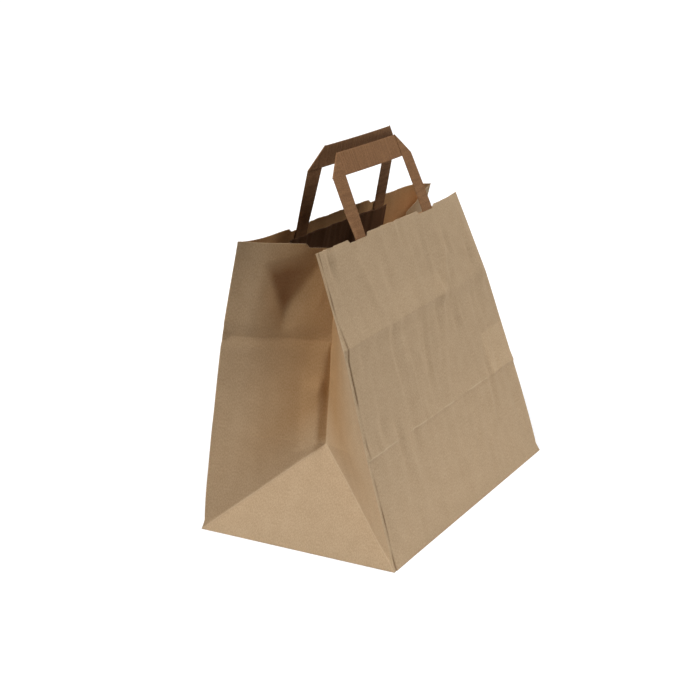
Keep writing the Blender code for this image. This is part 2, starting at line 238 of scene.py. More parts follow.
def sheet_normals(s, t, reach=NORMAL_REACH):
    """Outward normals of the folded sheet."""
    along = sheet_folded(s + reach, t) - sheet_folded(s - reach, t)
    up = sheet_folded(s, t + NORMAL_REACH) - sheet_folded(s, t - NORMAL_REACH)
    return unit(np.cross(along, up))


# Stations of the sheet's grid: close at the folds, even between them
def stations(length, pitch, tight=(0.0005, 0.0011, 0.002, 0.0034)):
    """Places from 0 to a length, closer together at both ends."""
    inner = np.linspace(tight[-1], length - tight[-1], round((length - 2 * tight[-1]) / pitch) + 1)
    ends = np.array((0,) + tight[:-1])
    return np.concatenate([ends, inner, length - ends[::-1]])


SHEET_PITCH = 0.0030
SEAM_INSET = 0.0042
SEAM_GAP = 0.0006
half_gusset = stations(DEPTH / 2, SHEET_PITCH)
across_gusset = np.concatenate([half_gusset, DEPTH - half_gusset[-2::-1]])
across_panel = stations(WIDTH, SHEET_PITCH)
seam_columns = SEAM_INSET + SEAM_GAP * np.array((-1, 0, 1))
off_seam = np.abs(across_panel - SEAM_INSET) > 1.5 * SEAM_GAP
across_front = np.sort(np.concatenate([across_panel[off_seam], seam_columns]))
ring = np.concatenate([
    across_front[:-1],
    WIDTH + across_gusset[:-1],
    WIDTH + DEPTH + across_panel[:-1],
    2 * WIDTH + DEPTH + across_gusset[:-1],
])
upper_low = stations(CREASES[1] - CREASES[0], SHEET_PITCH)
upper_high = stations(CREASES[2] - CREASES[1], SHEET_PITCH)
rows = np.concatenate([half_gusset, CREASES[0] + upper_low[1:], CREASES[1] + upper_high[1:]])

# The cut top edge: a pinked cut with a shallow dip at each handle leg
HANDLE_GAP = 0.109
STRIP_WIDTH = 0.021
HANDLE_CENTRE = {"front": -0.0108, "back": 0.0003}
HANDLE_SPREAD = {"front": 0.0022, "back": 0.0058}
NOTCH_WIDTH = {"front": 0.033, "back": 0.029}
NOTCH_DEPTH = 0.0033
NOTCH_SLOPE = 0.0025
NOTCH_SHIFT = {"front": -0.005, "back": -0.004}
TOOTH_HEIGHT = 0.0005


def leg_span(panel):
    """A leg's two edges at its foot, from the middle of the handle."""
    inner = HANDLE_GAP / 2 + HANDLE_SPREAD[panel]
    return inner, inner + STRIP_WIDTH


def cut_edge(s):
    """The paper height of the cut edge, at places s round the bag."""
    wall, place = wall_of(s)
    side = np.where(wall == 1, 1, -1)
    flat_x = np.where(wall % 2 == 0, place, side * (WIDTH / 2 - from_fold(wall, place)))
    drop = np.zeros_like(flat_x)
    for panel, walls in (("front", (0,)), ("back", (1, 2, 3))):
        middle = HANDLE_CENTRE[panel] + NOTCH_SHIFT[panel]
        reach = sum(leg_span(panel)) / 2
        for centre in (middle - reach, middle + reach):
            outside = np.abs(flat_x - centre) - NOTCH_WIDTH[panel] / 2
            dip = NOTCH_DEPTH * np.clip(1 - outside / NOTCH_SLOPE, 0, 1)
            drop = np.where(np.isin(wall, walls), np.maximum(drop, dip), drop)
    return HEIGHT - TOOTH_HEIGHT - drop


TOP_BAND = 0.012
grid_s, grid_t = np.meshgrid(ring, rows)
squeeze = np.clip((grid_t - (HEIGHT - TOP_BAND)) / TOP_BAND, 0, 1)
grid_t = grid_t - squeeze * (HEIGHT - cut_edge(grid_s))

# What the plain folds leave out. Each swelling is soft: wall, place across, paper height, reach
# across, reach up, and how far it stands out. Walls: 0 front, 1 right, 2 back, 3 left
SWELLINGS = [
    (0, 0.118, 0.240, 0.016, 0.040, 0.0008),
    (0, 0.078, 0.235, 0.010, 0.050, -0.0005),
    (0, 0.040, 0.165, 0.012, 0.040, 0.0004),
    (0, -0.060, 0.150, 0.030, 0.060, 0.0005),
    (3, 0.158, 0.100, 0.026, 0.060, 0.0022),
    (3, 0.172, 0.232, 0.020, 0.055, 0.0038),
    (3, 0.050, 0.170, 0.030, 0.070, 0.0008),
    (2, 0.060, 0.150, 0.060, 0.050, 0.0008),
    (2, -0.100, 0.150, 0.030, 0.060, -0.0008),
    (1, 0.060, 0.160, 0.030, 0.060, 0.0008),
    (0, -0.157, 0.103, 0.006, 0.005, 0.0018),
    (0, -0.155, 0.093, 0.006, 0.005, -0.0012),
]
# Each crease is a tent over a line: wall, one end (place, height), other end, how far it stands
# out, and how far its two sides reach, to the left of the line and to the right of it
SMALL_CREASES = [
    (3, (0.109, 0.094), (0.110, 0.150), 0.0028, 0.0085, 0.016),
    (3, (0.110, 0.150), (0.102, 0.190), 0.0020, 0.0085, 0.016),
    (3, (0.104, 0.193), (0.199, 0.193), -0.0022, 0.010, 0.009),
    (3, (0.122, 0.091), (0.130, 0.084), 0.0005, 0.004, 0.004),
    (3, (0.113, 0.230), (0.110, 0.242), 0.0006, 0.004, 0.004),
    (0, (-0.158, 0.196), (0.040, 0.198), 0.0030, 0.024, 0.010),
    (0, (0.040, 0.198), (0.146, 0.197), 0.0019, 0.020, 0.010),
    (0, (-0.158, 0.0995), (0.158, 0.0995), 0.0014, 0.012, 0.0030),
    (0, (-0.094, 0.258), (-0.082, 0.214), 0.0022, 0.007, 0.012),
    (0, (-0.052, 0.262), (-0.050, 0.226), -0.0014, 0.007, 0.010),
    (0, (-0.004, 0.250), (-0.005, 0.212), 0.0018, 0.010, 0.006),
    (0, (0.028, 0.256), (0.030, 0.218), -0.0018, 0.007, 0.010),
    (0, (0.073, 0.258), (0.050, 0.198), 0.0022, 0.009, 0.008),
    (0, (0.130, 0.262), (0.136, 0.202), 0.0018, 0.012, 0.007),
    (0, (0.027, 0.172), (0.006, 0.104), 0.0015, 0.009, 0.008),
    (0, (0.068, 0.168), (0.080, 0.127), 0.0015, 0.009, 0.006),
    (0, (0.012, 0.212), (0.030, 0.168), 0.0004, 0.010, 0.005),
    (0, (0.103, 0.101), (0.103, 0.142), 0.0002, 0.0012, 0.020),
    (0, (0.103, 0.142), (0.158, 0.142), 0.0002, 0.0012, 0.020),
    (2, (-0.150, 0.196), (0.150, 0.196), 0.0008, 0.014, 0.014),
    (1, (0.010, 0.193), (0.096, 0.193), -0.0009, 0.010, 0.010),
]
CREASE_FADE = 0.012
# Smooth noise patterns of the loose paper: reach across, reach up, and seed
SLACK_NOISE = (0.055, 0.070, 3.1)
WAVER_NOISE = (0.040, 0.050, 1.9)
WRINKLE_NOISE = (0.014, 0.085, 8.7)
FINE_WRINKLE_NOISE = (0.006, 0.050, 5.2)
PATCHY_NOISE = (0.050, 0.060, 12.3)
SEAM_NOISE = (1.0, 0.022, 4.4)
WORN_NOISE = (0.030, 1.0, 6.6)
SLACK = 0.0012
CALM_FOOT = 0.03
WAVER = 0.006
WRINKLES = 0.0030
FINE_WRINKLE_SHARE = 0.6
WRINKLE_INSET = 0.010
WRINKLED_WALLS = (1.0, 0.15, 0.25, 0.10)
# Close to a corner fold the two walls lie near each other, so each gives way only a little there
INWARD_SLOPE = 0.12
# The dent high in the left gusset's back half: a hollow under an overhanging facet, which is
# bounded by a V that opens upwards from its tip, and by a slanting line near the mouth
DENT_PLACE = 0.146
DENT_TIP = 0.217
DENT_FOOT = 0.194
DENT_OPENING = (1.8, 1.5)
DENT_TOP = 0.269
DENT_TOP_SLOPE = -0.266
DENT_OVERHANG = 0.13
DENT_SOFT = 0.013
DENT_ROOF_FADE = 0.016
DENT_SIDE_FADE = 0.038
# A strip of painted shade beside the left gusset's centre crease, and a paler oblong at the front panel's
# right edge
MARK_EDGE = 0.0016
MARK_FADE = 0.006
STRIP_FOOT = 0.1095
STRIP_NARROWS = 0.075
OBLONG_CORNER = 0.103
OBLONG_MIDDLE = 0.121
OBLONG_HALF = 0.021
# The glued overlap of the sheet's two edges, just round the front left fold
SEAM_STEP = 0.00045
SEAM_DEEP = 0.0009
SEAM_OVERLAP = 0.024
# The corners flare where they meet the folded bottom
EAR_HEIGHT = 0.009
EAR_PINCH = 0.0022
EAR_REACH = 0.012
EAR_FADE = 0.035


def noise_over(across, up, pattern):
    """Smooth noise of one pattern over two coordinates, about -0.5 to 0.5."""
    reach_across, reach_up, seed = pattern
    places = zip((across / reach_across).ravel().tolist(), (up / reach_up).ravel().tolist())
    values = [noise.noise(Vector((a, b, seed))) for a, b in places]
    return np.array(values).reshape(across.shape)


def seam_lift(t):
    """Where the glued seam has come up, by paper height, about -0.5 to 0.5."""
    return noise_over(np.zeros_like(t), t, SEAM_NOISE)


def dent_lines(place):
    """The heights of the dent's V and of the slanting line over it, across the left gusset."""
    aside = place - DENT_PLACE
    edge = DENT_TIP + np.where(aside > 0, DENT_OPENING[0], -DENT_OPENING[1]) * aside
    return edge, DENT_TOP + DENT_TOP_SLOPE * aside


def bell(distance, reach):
    return np.exp(-((distance / reach) ** 2))


def relief(s, t):
    """How far the paper stands out from its plain folded form."""
    wall, place = wall_of(s)
    to_fold = from_fold(wall, place)
    low_calm = np.clip(t / CALM_FOOT, 0, 1)
    out = SLACK * noise_over(s, t, SLACK_NOISE) * low_calm
    # Soft upright wrinkles come in patches, more of them near the mouth than at the foot
    wavering = s + WAVER * noise_over(s, t, WAVER_NOISE)
    waves = noise_over(wavering, t, WRINKLE_NOISE)
    waves += FINE_WRINKLE_SHARE * noise_over(wavering, t, FINE_WRINKLE_NOISE)
    patches = np.clip(0.35 + 2.2 * noise_over(s, t, PATCHY_NOISE), 0, 1)
    on_wall = np.choose(wall, WRINKLED_WALLS)
    on_wall *= np.clip(to_fold / WRINKLE_INSET, 0, 1)
    out += WRINKLES * waves * (0.25 + patches * (0.3 + 0.9 * t / HEIGHT)) * on_wall * low_calm
    for its_wall, x, height, reach_x, reach_t, lift in SWELLINGS:
        mark = lift * bell(place - x, reach_x) * bell(t - height, reach_t)
        out += np.where(wall == its_wall, mark, 0)
    for its_wall, start, end, lift, left_reach, right_reach in SMALL_CREASES:
        along = np.subtract(end, start)
        length = math.hypot(*along)
        across, up = place - start[0], t - start[1]
        run = (across * along[0] + up * along[1]) / length
        aside = (up * along[0] - across * along[1]) / length
        past_end = np.maximum(np.maximum(-run, run - length), 0)
        tent = np.clip(1 - np.abs(aside) / np.where(aside > 0, left_reach, right_reach), 0, 1)
        mark = lift * tent * np.clip(1 - past_end / CREASE_FADE, 0, 1)
        out += np.where(wall == its_wall, mark, 0)
    edge, roof = dent_lines(place)
    deep = np.clip(roof - edge, 0, None)
    rise = np.clip((t - DENT_FOOT) / (edge - DENT_FOOT), 0, 1)
    dent = DENT_OVERHANG * np.minimum(deep * rise * rise * (3 - 2 * rise), np.clip(roof - t, 0, None))
    out -= np.where(wall == 3, dent, 0)
    out = np.maximum(out, -INWARD_SLOPE * to_fold)
    lifted = 0.6 + 1.6 * seam_lift(t)
    in_gap = np.clip(1 - np.abs(s - SEAM_INSET) / SEAM_GAP, 0, 1)
    over = (s >= SEAM_INSET) * np.clip(1 - (s - SEAM_INSET) / SEAM_OVERLAP, 0, 1)
    out += SEAM_STEP * over * np.clip(lifted, 0.3, 1.4)
    out -= SEAM_DEEP * in_gap * np.clip(lifted, 0.1, 1.2)
    flare = np.minimum(t / EAR_HEIGHT, np.exp(-np.clip(t - EAR_HEIGHT, 0, None) / EAR_FADE))
    out -= EAR_PINCH * flare * np.exp(-to_fold / EAR_REACH)
    return out


def sheet_outside(s, t):
    """The sheet's outer face as it really lies, and its outward normals there."""
    laid = sheet_normals(s, t, RELIEF_REACH) * relief(s, t)[..., None]
    return sheet_folded(s, t) + laid, sheet_normals(s, t)


outer, normals = sheet_outside(grid_s, grid_t)
grid_wall, grid_place = wall_of(grid_s)
to_corner = from_fold(grid_wall, grid_place)
pressed = np.clip(to_corner / PRESSED_REACH, PRESSED_LEAST, 1)
inner = outer - normals * (PAPER * pressed)[..., None]
for sheet_face in (outer, inner):
    sheet_face[..., 2] = np.maximum(sheet_face[..., 2], 0)


def shell_mesh(name, outside, inside, wrap, places, falling=None):
    """A closed sheet from two grids of points, with a map of its paper coordinates. Where falling
    is given, the cells are cut in two, from top left to bottom right where it is true."""
    rows_up, columns = outside.shape[:2]
    count = rows_up * columns
    points = np.concatenate([outside.reshape(-1, 3), inside.reshape(-1, 3)])
    across = columns if wrap else columns - 1
    j, i = np.meshgrid(np.arange(rows_up - 1), np.arange(across), indexing="ij")
    low, low_right = j * columns + i, j * columns + (i + 1) % columns
    high, high_right = low + columns, low_right + columns
    quads = np.stack([low, low_right, high_right, high], -1).reshape(-1, 4)
    if falling is not None:
        rising_cut = np.concatenate([quads[:, [0, 1, 2]], quads[:, [0, 2, 3]]], -1).reshape(-1, 2, 3)
        falling_cut = np.concatenate([quads[:, [0, 1, 3]], quads[:, [1, 2, 3]]], -1).reshape(-1, 2, 3)
        quads = np.where(falling.reshape(-1, 1, 1), falling_cut, rising_cut).reshape(-1, 3)
    faces = [quads, quads[:, ::-1] + count]
    for row in (0, rows_up - 1):
        here = row * columns + np.arange(across)
        there = row * columns + (np.arange(across) + 1) % columns
        rim = np.stack([here, here + count, there + count, there], -1)
        faces.append(rim if row == 0 else rim[:, ::-1])
    if not wrap:
        for column in (0, columns - 1):
            here = np.arange(rows_up - 1) * columns + column
            rim = np.stack([here, here + columns, here + columns + count, here + count], -1)
            faces.append(rim if column == 0 else rim[:, ::-1])
    mesh = bpy.data.meshes.new(name)
    mesh.from_pydata(points.tolist(), [], [face for part in faces for face in part.tolist()])
    paper = mesh.uv_layers.new(name="paper")
    spread = []
    for part in faces:
        uv = np.concatenate([places.reshape(-1, 2)] * 2)[part]
        wrapped = np.ptp(uv[..., 0], axis=1) > ROUND_BAG / 2
        uv[wrapped, :, 0] += np.where(uv[wrapped, :, 0] < ROUND_BAG / 2, ROUND_BAG, 0)
        spread.append(uv.reshape(-1))
    paper.data.foreach_set("uv", np.concatenate(spread).astype(np.float32))
    mesh.shade_smooth()
    return mesh


# In the second half of each gusset the slanting fold runs down to the right, as the grid lies
cell_wall, cell_place = wall_of((ring + np.append(ring[1:], ROUND_BAG)) / 2)
in_second_half = (cell_wall == 1) & (cell_place > DEPTH / 2) | (cell_wall == 3) & (cell_place < DEPTH / 2)
falling_cells = np.tile(in_second_half, (len(rows) - 1, 1))
sheet_mesh = shell_mesh(
    "bag_sheet", outer, inner, True, np.stack([grid_s, grid_t], -1), falling_cells
)

# How far each place is from the nearest fold, for the scuffed fibres there, and how deep it lies
# in a gusset, for the painted shade that darkens and reddens the brown there
FAR_FROM_FOLDS = 0.02
WORN_BY = 0.0011
RECESS_CLIMB = 0.05
RECESS_INSET = 0.08
SEAM_SHADOW_REACH = 1.7 * SEAM_GAP
on_gusset = grid_wall % 2 == 1
to_slant = np.where(on_gusset & (grid_t <= CREASES[0]), np.abs(grid_t - to_corner), 1.0)
worn_off = np.clip(0.15 + 2.0 * noise_over(grid_s, np.zeros_like(grid_s), WORN_NOISE), 0, 1)
to_cross = np.where(on_gusset, 1.0, np.abs(grid_t - CREASES[0]) + WORN_BY * worn_off)
fold_away = np.minimum(np.minimum.reduce([to_corner, to_slant, to_cross]), FAR_FROM_FOLDS)
climb = np.clip((grid_t - to_corner) / RECESS_CLIMB, 0, 1)
# Painted shade: deep in a gusset the paper's browns are multiplied darker and redder
recess_shade = np.where(on_gusset, climb * np.clip(to_corner / RECESS_INSET, 0.25, 1), 0)
# Painted shadow: a dark line along the seam's gap, darker where the seam has lifted
seam_shadow = np.clip(1 - np.abs(grid_s - SEAM_INSET) / SEAM_SHADOW_REACH, 0, 1)
seam_shadow *= np.clip(0.55 + 1.5 * seam_lift(grid_t), 0.15, 1)
# The dent's hollow gets a strong painted shade and the strip a light one. The oblong on the front is paler
dent_edge, dent_roof = dent_lines(grid_place)
dent_shade_mask = np.clip((grid_t - dent_edge) / DENT_SOFT + 0.5, 0, 1)
dent_shade_mask *= np.clip((dent_roof - grid_t) / DENT_ROOF_FADE, 0, 1)
dent_shade_mask *= np.clip(1 + (grid_place - DENT_PLACE) / DENT_SIDE_FADE, 0.35, 1)
dent_shade_mask = np.where(grid_wall == 3, dent_shade_mask, 0)
from_oblong = np.maximum(OBLONG_CORNER - grid_place, np.abs(grid_t - OBLONG_MIDDLE) - OBLONG_HALF)
in_oblong = np.where(grid_wall == 0, np.clip(0.5 - from_oblong / MARK_EDGE, 0, 1), 0)
# Painted shade: a darker strip between the secondary crease and the gusset's centre crease
strip_side = STRIP_FOOT - STRIP_NARROWS * (grid_t - CREASES[0])
strip_shade_mask = np.clip((strip_side - grid_place) / MARK_EDGE, 0, 1)
strip_shade_mask *= np.clip((grid_t - CREASES[0]) / MARK_FADE, 0, 1)
strip_shade_mask *= np.clip((CREASES[1] - grid_t) / MARK_FADE, 0, 1)
strip_shade_mask = np.where((grid_wall == 3) & (grid_place > DEPTH / 2), strip_shade_mask, 0)
marks = {
    "fold_away": fold_away, "recess_shade": recess_shade, "seam_shadow": seam_shadow,
    "dent": dent_shade_mask, "oblong": in_oblong, "strip": strip_shade_mask,
}
for attribute_name, values in marks.items():
    attribute = sheet_mesh.attributes.new(attribute_name, "FLOAT", "POINT")
    attribute.data.foreach_set("value", np.tile(values.ravel(), 2).astype(np.float32))


def group_tree(name, inputs, outputs):
    """An empty shader node group with named sockets."""
    tree = bpy.data.node_groups.new(name, "ShaderNodeTree")
    for socket, kind, value in inputs:
        made = tree.interface.new_socket(socket, in_out="INPUT", socket_type=kind)
        if value is not None:
            made.default_value = value
    for socket, kind in outputs:
        tree.interface.new_socket(socket, in_out="OUTPUT", socket_type=kind)
    return tree, tree.nodes.new("NodeGroupInput"), tree.nodes.new("NodeGroupOutput")


def add_node(tree, kind, links=(), settings=(), **fields):
    """A node with its fields, its plain input values and its incoming links."""
    node = tree.nodes.new(kind)
    for field, value in fields.items():
        setattr(node, field, value)
    for socket, value in dict(settings).items():
        node.inputs[socket].default_value = value
    for socket, source in dict(links).items():
        tree.links.new(source, node.inputs[socket])
    return node


# Kraft paper seen close: cloudy pulp, fine fibres lying along the web, and shallow upright ribs
kraft_grain, grain_in, grain_out = group_tree(
    "kraft_grain",
    [("Paper", "NodeSocketVector", None), ("Rib pitch", "NodeSocketFloat", 0.004)],
    [("Cloud", "NodeSocketFloat"), ("Fibre", "NodeSocketFloat"), ("Rib", "NodeSocketFloat")],
)
cloud_big = add_node(
    kraft_grain, "ShaderNodeTexNoise", {"Vector": grain_in.outputs["Paper"]},
    {"Scale": 70.0, "Detail": 3.0, "Roughness": 0.6},
)
fibre_stretch = add_node(
    kraft_grain, "ShaderNodeVectorMath", {0: grain_in.outputs["Paper"]}, {1: (1.0, 0.45, 1.0)},
    operation="MULTIPLY",
)
fibre_noise = add_node(
    kraft_grain, "ShaderNodeTexNoise", {"Vector": fibre_stretch.outputs[0]},
    {"Scale": 1100.0, "Detail": 4.0, "Roughness": 0.75},
)
rib_rate = add_node(
    kraft_grain, "ShaderNodeMath", {1: grain_in.outputs["Rib pitch"]}, {0: 1.0}, operation="DIVIDE"
)
rib_stretch = add_node(
    kraft_grain, "ShaderNodeVectorMath", {0: grain_in.outputs["Paper"]}, {1: (1.0, 0.07, 1.0)},
    operation="MULTIPLY",
)
rib_noise = add_node(
    kraft_grain, "ShaderNodeTexNoise",
    {"Vector": rib_stretch.outputs[0], "Scale": rib_rate.outputs[0]},
    {"Detail": 1.5, "Roughness": 0.5},
)
for socket, source in (("Cloud", cloud_big), ("Fibre", fibre_noise), ("Rib", rib_noise)):
    kraft_grain.links.new(source.outputs["Fac"], grain_out.inputs[socket])


KRAFT_ROUGHNESS = 0.82
KRAFT_GLOSS = 0.2
FIBRE_HEIGHT = 0.00015


def kraft_material(name, dark, light, rib_pitch, rib_height, cloudiness, speckle, streak):
    """Matte kraft: two browns clouded together, fibres in the colour and the surface."""
    material = bpy.data.materials.new(name)
    material.use_nodes = True
    tree = material.node_tree
    shader = tree.nodes["Principled BSDF"]
    shader.inputs["Roughness"].default_value = KRAFT_ROUGHNESS
    shader.inputs["Specular IOR Level"].default_value = KRAFT_GLOSS
    paper = add_node(tree, "ShaderNodeUVMap", uv_map="paper")
    grain = add_node(tree, "ShaderNodeGroup", node_tree=kraft_grain)
    grain.inputs["Rib pitch"].default_value = rib_pitch
    tree.links.new(paper.outputs["UV"], grain.inputs["Paper"])

    def swing(channel, middle, reach):
        """One channel of the grain, swung by its reach to both sides of a middle value."""
        limits = {"From Min": 0.3, "From Max": 0.7, "To Min": middle - reach, "To Max": middle + reach}
        source = {"Value": grain.outputs[channel]}
        return add_node(tree, "ShaderNodeMapRange", source, limits).outputs["Result"]

    clouds, specks = swing("Cloud", 0.5, cloudiness), swing("Fibre", 0.0, speckle)
    clouded = add_node(tree, "ShaderNodeMath", {0: clouds, 1: specks}, operation="ADD")
    streaks = swing("Rib", 0.0, streak)
    blend = add_node(tree, "ShaderNodeMath", {0: clouded.outputs[0], 1: streaks}, operation="ADD")
    colour = add_node(tree, "ShaderNodeMix", {0: blend.outputs[0]}, data_type="RGBA")
    colour.inputs[6].default_value = (*dark, 1.0)
    colour.inputs[7].default_value = (*light, 1.0)
    tree.links.new(colour.outputs[2], shader.inputs["Base Color"])
    rib_bump = add_node(
        tree, "ShaderNodeBump", {"Height": grain.outputs["Rib"]}, {"Strength": 1.0, "Distance": rib_height}
    )
    fibre_bump = add_node(
        tree, "ShaderNodeBump", {"Height": grain.outputs["Fibre"], "Normal": rib_bump.outputs["Normal"]},
        {"Strength": 0.6, "Distance": FIBRE_HEIGHT},
    )
    tree.links.new(fibre_bump.outputs["Normal"], shader.inputs["Normal"])
    return material


def mix_over(material, colour, factor, as_product=False):
    """Lays a further colour over a kraft material's browns, where the factor says."""
    tree = material.node_tree
    shader = tree.nodes["Principled BSDF"]
    below = shader.inputs["Base Color"].links[0].from_socket
    layer = add_node(tree, "ShaderNodeMix", {0: factor}, data_type="RGBA")
    layer.blend_type = "MULTIPLY" if as_product else "MIX"
    tree.links.new(below, layer.inputs[6])
    layer.inputs[7].default_value = (*colour, 1.0)
    tree.links.new(layer.outputs[2], shader.inputs["Base Color"])


BAG_DARK = (0.415, 0.293, 0.174)
BAG_LIGHT = (0.510, 0.373, 0.236)
SCUFFED = (0.600, 0.460, 0.310)
SCUFF_REACH = 0.0011
RECESS_SHADE = (0.82, 0.69, 0.53)
SEAM_SHADE = (0.40, 0.32, 0.25)
DENT_SHADE = (0.55, 0.44, 0.36)
OBLONG_TINT = (1.09, 1.09, 1.09)
STRIP_SHADE = (0.89, 0.82, 0.72)
BAG_GRAIN = {"rib_pitch": 0.010, "rib_height": 0.0002, "cloudiness": 0.18, "streak": 0.08}
BAG_SPECKLE = 1.1
bag_kraft = kraft_material("bag_kraft", BAG_DARK, BAG_LIGHT, speckle=BAG_SPECKLE, **BAG_GRAIN)
bag_tree = bag_kraft.node_tree
# Painted shade deep in the gussets
recess_shade_read = add_node(bag_tree, "ShaderNodeAttribute", attribute_name="recess_shade")
mix_over(bag_kraft, RECESS_SHADE, recess_shade_read.outputs["Fac"], as_product=True)
fold_read = add_node(bag_tree, "ShaderNodeAttribute", attribute_name="fold_away")
scuff_mask = add_node(
    bag_tree, "ShaderNodeMapRange", {"Value": fold_read.outputs["Fac"]},
    {"From Min": 0.0, "From Max": SCUFF_REACH, "To Min": 0.55, "To Max": 0.0},
)
mix_over(bag_kraft, SCUFFED, scuff_mask.outputs["Result"])
# Painted shade in the dent's hollow and along the strip by the gusset crease; the oblong is only paler
for mark, tint in (("dent", DENT_SHADE), ("oblong", OBLONG_TINT), ("strip", STRIP_SHADE)):
    mark_read = add_node(bag_tree, "ShaderNodeAttribute", attribute_name=mark)
    mix_over(bag_kraft, tint, mark_read.outputs["Fac"], as_product=True)
# Painted shadow in the seam's gap
seam_shadow_read = add_node(bag_tree, "ShaderNodeAttribute", attribute_name="seam_shadow")
mix_over(bag_kraft, SEAM_SHADE, seam_shadow_read.outputs["Fac"], as_product=True)
sheet_mesh.materials.append(bag_kraft)

# The paper's inner face is painted a redder brown than the outer one, for the warm bounced light and shade
# inside the bag, except beside the corner folds
INNER_SHADED_DARK = (0.500, 0.275, 0.118)
INNER_SHADED_LIGHT = (0.590, 0.345, 0.160)
INNER_SPECKLE = 0.9
bag_inside_shaded = kraft_material(
    "bag_kraft_inside_shaded", INNER_SHADED_DARK, INNER_SHADED_LIGHT, speckle=INNER_SPECKLE, **BAG_GRAIN
)
sheet_mesh.materials.append(bag_inside_shaded)
PALE_REACH = 0.006
# Painted shade: these inner faces take the redder inside brown
takes_inside_shade = np.tile(from_fold(cell_wall, cell_place) > PALE_REACH, len(rows) - 1)
half_faces = 2 * takes_inside_shade.size
face_finish = np.zeros(len(sheet_mesh.polygons), np.int32)
face_finish[half_faces:2 * half_faces] = np.repeat(takes_inside_shade, 2)
sheet_mesh.polygons.foreach_set("material_index", face_finish)


def link_piece(mesh, *nodes, slot="kraft_paper"):
    """Puts a finished mesh in the scene, on the bag's one body."""
    piece = bpy.data.objects.new(mesh.name, mesh)
    bpy.context.scene.collection.objects.link(piece)
    if nodes:
        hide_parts(*nodes)
    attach(piece, "root")
    return piece


link_piece(sheet_mesh, "bag_body")

# The bottom: the sheet's foot folded under as four flaps and glued, the two side triangles first,
# then the front flap, then the back flap over it and past the middle.

FLAP_OVERLAP = 0.012
FLAP_FULLNESS = 0.98


def flap_mesh(name, outline, level):
    """One flap: a flat outline, one paper thick, at its layer above the floor."""
    count = len(outline)
    low, high = level * PAPER, (level + 1) * PAPER * FLAP_FULLNESS
    points = [(x, y, z) for z in (low, high) for x, y in outline]
    faces = [list(range(count))[::-1], list(range(count, 2 * count))]
    for k in range(count):
        after = (k + 1) % count
        faces.append([k, after, count + after, count + k])
    mesh = bpy.data.meshes.new(name)
    mesh.from_pydata(points, [], faces)
    paper = mesh.uv_layers.new(name="paper")
    for loop in mesh.loops:
        place = mesh.vertices[loop.vertex_index].co
        paper.data[loop.index].uv = (place.x, place.y)
    mesh.materials.append(flap_kraft)
    return mesh


flap_kraft = kraft_material("flap_kraft", BAG_DARK, BAG_LIGHT, speckle=BAG_SPECKLE, **BAG_GRAIN)
half_wide, half_deep = WIDTH / 2 - PAPER, DEPTH / 2 - PAPER
tip_x = WIDTH / 2 - DEPTH / 2
seam_x = tip_x - FLAP_OVERLAP
flaps = {
    "bottom_back_flap": (0, [
        (half_wide, half_deep), (-half_wide, half_deep), (-tip_x, 0),
        (-seam_x, -FLAP_OVERLAP), (seam_x, -FLAP_OVERLAP), (tip_x, 0),
    ]),
    "bottom_front_flap": (1, [
        (-half_wide, -half_deep), (half_wide, -half_deep), (tip_x, 0),
        (seam_x, FLAP_OVERLAP), (-seam_x, FLAP_OVERLAP), (-tip_x, 0),
    ]),
    "bottom_left_tuck": (2, [(-half_wide, half_deep), (-half_wide, -half_deep), (-tip_x, 0)]),
    "bottom_right_tuck": (2, [(half_wide, -half_deep), (half_wide, half_deep), (tip_x, 0)]),
}
for flap_name, (level, outline) in flaps.items():
    link_piece(flap_mesh(flap_name, outline, level), "bag_body")

# The pinked edge: the bag maker's saw-toothed knife leaves a row of small teeth all along the cut
# top edge of the sheet. They are the sheet's own paper, one paper thick.

TOOTH_PITCH = 0.0013
TOOTH_SINK = 0.0002
EDGE_PITCH = 0.001
EDGE_BELOW = 0.0006

edge_ring = np.arange(0, ROUND_BAG, EDGE_PITCH)
edge_low, _ = sheet_outside(edge_ring, cut_edge(edge_ring) - EDGE_BELOW)
edge_points, edge_normals = sheet_outside(edge_ring, cut_edge(edge_ring))
edge_points -= edge_normals * PAPER / 2
edge_up = unit(edge_points + edge_normals * PAPER / 2 - edge_low)
edge_mesh = bpy.data.meshes.new("cut_edge")
edge_links = [(k, (k + 1) % len(edge_ring)) for k in range(len(edge_ring))]
edge_mesh.from_pydata(edge_points.tolist(), edge_links, [])
edge_mesh.attributes.new("up", "FLOAT_VECTOR", "POINT").data.foreach_set("vector", edge_up.ravel())
edge_object = bpy.data.objects.new("cut_edge", edge_mesh)
bpy.context.scene.collection.objects.link(edge_object)

teeth_tree = bpy.data.node_groups.new("pinked_teeth", "GeometryNodeTree")
teeth_tree.interface.new_socket("Geometry", in_out="INPUT", socket_type="NodeSocketGeometry")
teeth_sizes = {"Pitch": TOOTH_PITCH, "Height": TOOTH_HEIGHT, "Sink": TOOTH_SINK, "Paper": PAPER}
for size_name in teeth_sizes:
    teeth_tree.interface.new_socket(size_name, in_out="INPUT", socket_type="NodeSocketFloat")
teeth_tree.interface.new_socket("Geometry", in_out="OUTPUT", socket_type="NodeSocketGeometry")
teeth_in = teeth_tree.nodes.new("NodeGroupInput")
teeth_out = teeth_tree.nodes.new("NodeGroupOutput")
edge_curve = add_node(teeth_tree, "GeometryNodeMeshToCurve", {"Mesh": teeth_in.outputs["Geometry"]})
evenly = add_node(
    teeth_tree, "GeometryNodeResampleCurve",
    {"Curve": edge_curve.outputs["Curve"], "Length": teeth_in.outputs["Pitch"]}, mode="LENGTH",
)
up_the_paper = add_node(
    teeth_tree, "GeometryNodeInputNamedAttribute", settings={"Name": "up"}, data_type="FLOAT_VECTOR"
)
along_edge = add_node(teeth_tree, "GeometryNodeInputTangent")
standing = add_node(
    teeth_tree, "FunctionNodeAxesToRotation",
    {
        "Primary Axis": up_the_paper.outputs["Attribute"],
        "Secondary Axis": along_edge.outputs["Tangent"],
    },
    primary_axis="X", secondary_axis="Y",
)
